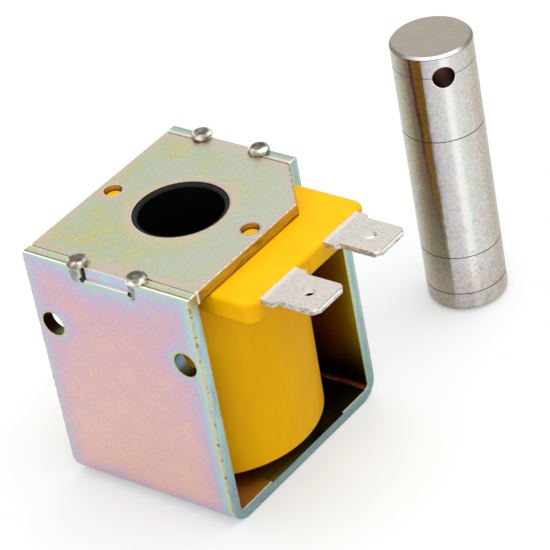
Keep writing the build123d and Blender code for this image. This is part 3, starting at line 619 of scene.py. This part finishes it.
# Round the bar: dark bands of painted reflection, then a white painted highlight, then darker tones to the
# right
color = add(tree, "ValToRGB", {0: around}, stops=(
    (0.0, "#c4bdb2"), (0.24, "#c2bfb4"), (0.3, "#b4b1a4"), (0.335, "#9f9780"), (0.362, "#8c8268"),
    (0.4, "#807a66"), (0.429, "#827a60"), (0.436, "#c2bab2"), (0.445, "#c8c5c7"), (0.488, "#cfcccb"),
    (0.503, "#d6d4d3"), (0.514, "#f0ede9"), (0.53, "#efeeec"), (0.546, "#d9d7d1"), (0.579, "#d1cdc8"),
    (0.616, "#cac3bb"), (0.65, "#b9ae9f"), (0.7, "#b1a695"), (0.76, "#b6ac9f"), (1.0, "#c4bdb2")))
gold_band_half = add(tree, "MapRange", {"Value": height, "From Min": 7.0, "From Max": 42.0, "To Max": 0.13})
off_gold_band = add(tree, "Math", {0: waver, 1: gold_band_turn + waver_shift}, operation="SUBTRACT")
gold_band_gap = add(tree, "Math", {0: off_gold_band}, operation="ABSOLUTE")
gold_band = add(tree, "Math", {0: gold_band_half, 1: gold_band_gap}, operation="SUBTRACT")
gold_band = add(tree, "MapRange", {"Value": gold_band, "From Min": 0.0, "From Max": 0.02})
gold_band_color = layer(tree, "#4e463c", "#94742a", height, 8.0, 18.0)
color = add(tree, "MixRGB", {0: gold_band, 1: color, 2: gold_band_color})
gold_band_side = add(tree, "Math", {0: off_gold_band, 1: gold_band_half}, operation="ADD")
gold_band_side = add(tree, "Math", {0: gold_band_side, 1: -0.045, 2: 0.045}, operation="COMPARE")
gold_band_side_high = add(tree, "MapRange", {"Value": height, "From Min": 16.0, "From Max": 30.0, "To Max": 0.75})
gold_band_side = add(tree, "Math", {0: gold_band_side, 1: gold_band_side_high}, operation="MULTIPLY")
color = add(tree, "MixRGB", {0: gold_band_side, 1: color, 2: "#3c4232"})
speck = add(tree, "TexNoise", {"Vector": mm, "Scale": 1 / 0.5, "Detail": 5.0, "Roughness": 0.8})
color = layer(tree, color, "#b6aba0", height, 9.5, 2.0, 0.6)
color = add(tree, "MixRGB", {0: 0.5, 1: color, 2: tint.outputs["Color"]}, blend_type="SOFT_LIGHT")
color = add(tree, "MixRGB", {0: 0.8, 1: color, 2: speck}, blend_type="OVERLAY")
stain = add(tree, "TexNoise", {"Vector": mm, "Scale": 1 / 1.1, "Detail": 6.0, "Roughness": 0.8})
stain = add(tree, "MapRange", {"Value": stain, "From Min": 0.53, "From Max": 0.64, "To Max": 0.55})
stain_low = add(tree, "MapRange", {"Value": height, "From Min": 19.0, "From Max": 6.0, "To Min": 0.25})
stain = add(tree, "Math", {0: stain, 1: stain_low}, operation="MULTIPLY")
color = add(tree, "MixRGB", {0: stain, 1: color, 2: "#857a6e"})
end_color = add(tree, "ValToRGB", {0: tint}, stops=(
    (0.35, "#a99892"), (0.46, "#a89e94"), (0.54, "#a6a294"), (0.65, "#b2a296")))
upward = add(tree, "MapRange", {"Value": turned.outputs["Z"], "From Min": 0.85, "From Max": 0.97})
color = add(tree, "MixRGB", {0: upward, 1: color, 2: end_color})

# Scribed rings and the cross hole painted dark as shade, the hole's mouth mottled with painted shade and
# glints, and a painted highlight on the hole's lower edge. The chamfer is painted bright as highlight at the
# front and dark as shade at the sides, over a dark painted shade line
chamfer_side = add(tree, "Math", {0: turn, 1: 0.1}, operation="ADD")
chamfer_side = add(tree, "Math", {0: chamfer_side}, operation="ABSOLUTE")
# The chamfer: painted highlight at the front, painted shade at the sides
chamfer_highlight_and_shade = layer(tree, "#dcdadb", "#867c70", chamfer_side, 0.4, 0.85)
on_chamfer = add(tree, "Math", {0: height, 1: plunger_length - chamfer}, operation="GREATER_THAN")
on_chamfer = add(tree, "Math", {0: on_chamfer, 1: upward}, operation="SUBTRACT", use_clamp=True)
color = add(tree, "MixRGB", {0: on_chamfer, 1: color, 2: chamfer_highlight_and_shade})
chamfer_shade_line = add(tree, "Math", {0: height, 1: plunger_length - chamfer - half_scribe, 2: half_scribe},
                   operation="COMPARE")
chamfer_shade_line = add(tree, "Math", {0: chamfer_shade_line, 1: speck}, operation="MULTIPLY")
color = add(tree, "MixRGB", {0: chamfer_shade_line, 1: color, 2: "#3a3634"})
sunk = add(tree, "MapRange",
           {"Value": radius, "From Min": plunger_radius - 0.01, "From Max": plunger_radius - 0.04})
on_side = add(tree, "Math", {0: radius, 1: plunger_radius - 0.1}, operation="GREATER_THAN")
scribed = add(tree, "Math", {0: sunk, 1: on_side}, operation="MULTIPLY")
below_chamfer = add(tree, "Math", {0: height, 1: plunger_length - 0.5}, operation="LESS_THAN")
above_foot = add(tree, "Math", {0: height, 1: foot_round}, operation="GREATER_THAN")
for limit in (below_chamfer, above_foot):
    scribed = add(tree, "Math", {0: scribed, 1: limit}, operation="MULTIPLY")
top_ring = add(tree, "Math", {0: height, 1: plunger_length - top_ring_depth, 2: half_scribe},
               operation="COMPARE")
top_ring = add(tree, "Math", {0: top_ring, 1: 0.8}, operation="MULTIPLY")
scribed = add(tree, "Math", {0: scribed, 1: top_ring}, operation="MAXIMUM")
# Scribed rings painted dark as shade
color = add(tree, "MixRGB", {0: scribed, 1: color, 2: "#5a5148"})
hole_place = (plunger_x, plunger_y, plunger_length - link_hole_depth)
hole_way = (math.cos(link_hole_angle), math.sin(link_hole_angle), 0.0)
off_hole = add(tree, "VectorMath", {0: mm, 1: hole_place}, operation="SUBTRACT")
off_hole = add(tree, "VectorMath", {0: off_hole, 1: hole_way}, operation="CROSS_PRODUCT")
off_hole = add(tree, "VectorMath", {0: off_hole}, operation="LENGTH")
edge = add(tree, "MapRange",
           {"Value": off_hole, "From Min": link_hole_radius + 0.22, "From Max": link_hole_radius + 0.12})
lower_half = add(tree, "MapRange",
                 {"Value": height, "From Min": hole_place[2] + 0.3, "From Max": hole_place[2] - 0.6})
edge = add(tree, "Math", {0: edge, 1: lower_half}, operation="MULTIPLY")
# Painted highlight on the hole's lower edge
color = add(tree, "MixRGB", {0: edge, 1: color, 2: "#f1eee9"})
in_hole = add(tree, "Math", {0: off_hole, 1: link_hole_radius + 0.02}, operation="LESS_THAN")
by_mouth = add(tree, "MapRange",
               {"Value": radius, "From Min": plunger_radius - 0.7, "From Max": plunger_radius - 0.5})
by_mouth = add(tree, "Math", {0: by_mouth, 1: lower_half}, operation="MULTIPLY")
# The hole painted dark as shade, its mouth with painted shade and glints
mouth_shade_and_glints = add(tree, "ValToRGB", {0: speck}, stops=(
    (0.46, "#2c2628"), (0.54, "#6e686c"), (0.6, "#f4f0ec")))
hole_shade_color = add(tree, "MixRGB", {0: by_mouth, 1: "#7c5a44", 2: mouth_shade_and_glints})
color = add(tree, "MixRGB", {0: in_hole, 1: color, 2: hole_shade_color})
scratch_place = add(tree, "VectorMath", {0: mm, 1: (0.2, 0.2, 6.0)}, operation="MULTIPLY")
scratch = add(tree, "TexNoise", {"Vector": scratch_place, "Scale": 1.0, "Detail": 4.0})
join_finish(plunger_finish, color, scratch, 0.06, 0.1)
nodes["plunger"].material_slots[0].material = plunger_finish


# Floor and light: a white sweep in a soft white room, dimmer at the right and behind, with a broad lamp high
# behind the object and a weaker one before its open side. The camera, metal and glass see the floor and the
# room as white, and the floor keeps the object's shadow.
def seen_rays(tree):
    """Mark the rays by which the camera, metal or glass sees a surface."""
    path = add(tree, "LightPath", {}).outputs
    seen = add(tree, "Math", {0: path["Is Camera Ray"], 1: path["Is Glossy Ray"]}, operation="MAXIMUM")
    return add(tree, "Math", {0: seen, 1: path["Is Transmission Ray"]}, operation="MAXIMUM")


floor_half = 3.0
floor_mesh = bpy.data.meshes.new("floor")
corners = [(x * floor_half, y * floor_half, 0) for x, y in ((-1, -1), (1, -1), (1, 1), (-1, 1))]
floor_mesh.from_pydata(corners, [], [(0, 1, 2, 3)])
floor = new_object("floor", floor_mesh)
floor_finish, tree = new_finish("white_paper_floor", {
    "Roughness": 0.9, "Specular IOR Level": 0.0, "Emission Color": to_linear("#ffffff")})[:2]
seen = seen_rays(tree)
color = add(tree, "MixRGB", {0: seen, 1: "#b4b4b4", 2: "#ced1d2"})
join_finish(floor_finish, color)
camera_ray = add(tree, "LightPath", {}).outputs["Is Camera Ray"]
glow = add(tree, "MapRange", {"Value": camera_ray, "To Min": 0.27, "To Max": 0.285})
glow = add(tree, "Math", {0: seen, 1: glow}, operation="MULTIPLY")
tree.links.new(glow.outputs[0], tree.nodes["Principled BSDF"].inputs["Emission Strength"])
floor.data.materials.append(floor_finish)

world = bpy.data.worlds.new("white_room")
bpy.context.scene.world = world
world.use_nodes = True
tree = world.node_tree
seen = seen_rays(tree)
direction = add(tree, "TexCoord", {}).outputs["Generated"]
to_right = add(tree, "VectorMath", {0: direction, 1: (0.74, 0.67, 0.0)}, operation="DOT_PRODUCT")
diffuse_level = add(tree, "MapRange",
                    {"Value": to_right, "From Min": -0.1, "From Max": 0.8, "To Min": 0.9, "To Max": 0.38})
level = add(tree, "MapRange", {"Value": seen, "To Min": diffuse_level, "To Max": 1.0})
tree.nodes["Background"].inputs["Color"].default_value = to_linear("#ffffff")
tree.links.new(level.outputs[0], tree.nodes["Background"].inputs["Strength"])

for name, energy, spread, toward_lamp in (
        ("key", 1.34, 60.0, (0.35, 0.5, 1.3)),
        ("fill", 0.84, 80.0, (0.5, -0.95, 0.55))):
    lamp = new_object(name, bpy.data.lights.new(name, "SUN"))
    lamp.data.energy, lamp.data.angle = energy, math.radians(spread)
    lamp.rotation_euler = Vector(toward_lamp).to_track_quat("Z", "Y").to_euler()
bpy.context.scene.view_settings.view_transform = "Standard"
